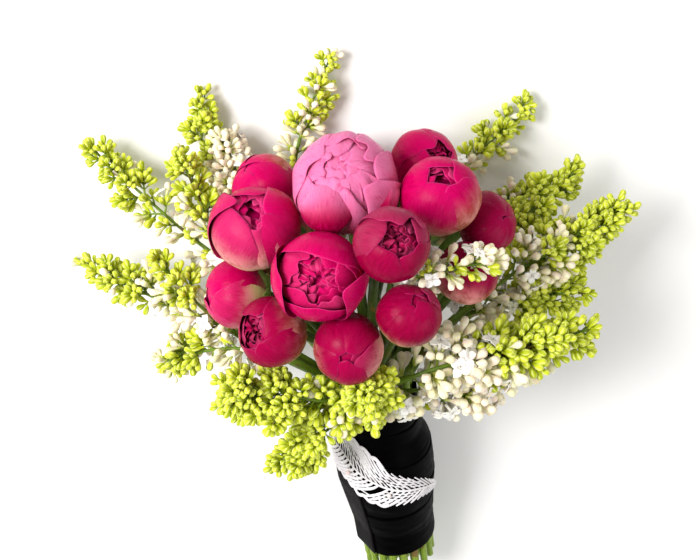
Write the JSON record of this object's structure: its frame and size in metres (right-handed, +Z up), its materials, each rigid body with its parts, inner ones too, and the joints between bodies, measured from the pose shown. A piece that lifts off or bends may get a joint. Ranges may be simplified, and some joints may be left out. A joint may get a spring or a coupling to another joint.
{
  "type": "bunch of peonies",
  "caption": "Hand-tied bunch of magenta peonies ringed with white and green lilac, its stems wrapped in black ribbon with a lace leaf.",
  "frame": {"origin": "on the table under the middle of the lying bunch", "axes": "+Z up from the table, +Y out of the flower head along the table, -Y to the cut stem ends, +X to the right seen from above with the flower head away"},
  "size_m": [0.337, 0.3598, 0.1967],
  "materials": {
    "peony_petal": "soft matte petal with fine lengthwise veins, paler at the edges and tan at the base",
    "peony_green": "smooth waxy green stem and sepals",
    "lilac_green": "matte yellow-green buds on fine green branchlets",
    "lilac_white": "matte cream-white florets and buds on green branchlets",
    "twine": "twisted natural fibre",
    "ribbon": "black satin weave with a soft sheen",
    "lace": "white embroidered cotton lace with small pearl beads"
  },
  "bodies": {
    "root": {"peony_01": "peony_petal", "peony_02": "peony_petal", "peony_03": "peony_petal", "peony_04": "peony_petal", "peony_05": "peony_petal", "peony_06": "peony_petal", "peony_07": "peony_petal", "peony_08": "peony_petal", "peony_09": "peony_petal", "peony_10": "peony_petal", "peony_11": "peony_petal", "peony_12": "peony_petal", "peony_13": "peony_petal", "peony_14": "peony_petal", "peony_15": "peony_petal", "peony_16": "peony_petal", "peony_17": "peony_petal", "peony_18": "peony_petal", "peony_stem_01": "peony_green", "peony_stem_02": "peony_green", "peony_stem_03": "peony_green", "peony_stem_04": "peony_green", "peony_stem_05": "peony_green", "peony_stem_06": "peony_green", "peony_stem_07": "peony_green", "peony_stem_08": "peony_green", "peony_stem_09": "peony_green", "peony_stem_10": "peony_green", "peony_stem_11": "peony_green", "peony_stem_12": "peony_green", "peony_stem_13": "peony_green", "peony_stem_14": "peony_green", "peony_stem_15": "peony_green", "peony_stem_16": "peony_green", "peony_stem_17": "peony_green", "peony_stem_18": "peony_green", "lilac_01": "lilac_green", "lilac_02": "lilac_white", "lilac_03": "lilac_white", "lilac_04": "lilac_green", "lilac_05": "lilac_green", "lilac_06": "lilac_green", "lilac_07": "lilac_green", "lilac_08": "lilac_green", "lilac_09": "lilac_green", "lilac_10": "lilac_green", "lilac_11": "lilac_green", "lilac_12": "lilac_white", "lilac_13": "lilac_white", "lilac_14": "lilac_green", "lilac_15": "lilac_green", "lilac_16": "lilac_green", "lilac_17": "lilac_green", "lilac_18": "lilac_white", "lilac_19": "lilac_green", "twine_tie": "twine", "ribbon_wrap": "ribbon", "lace_leaf": "lace"}
  },
  "joints": []
}
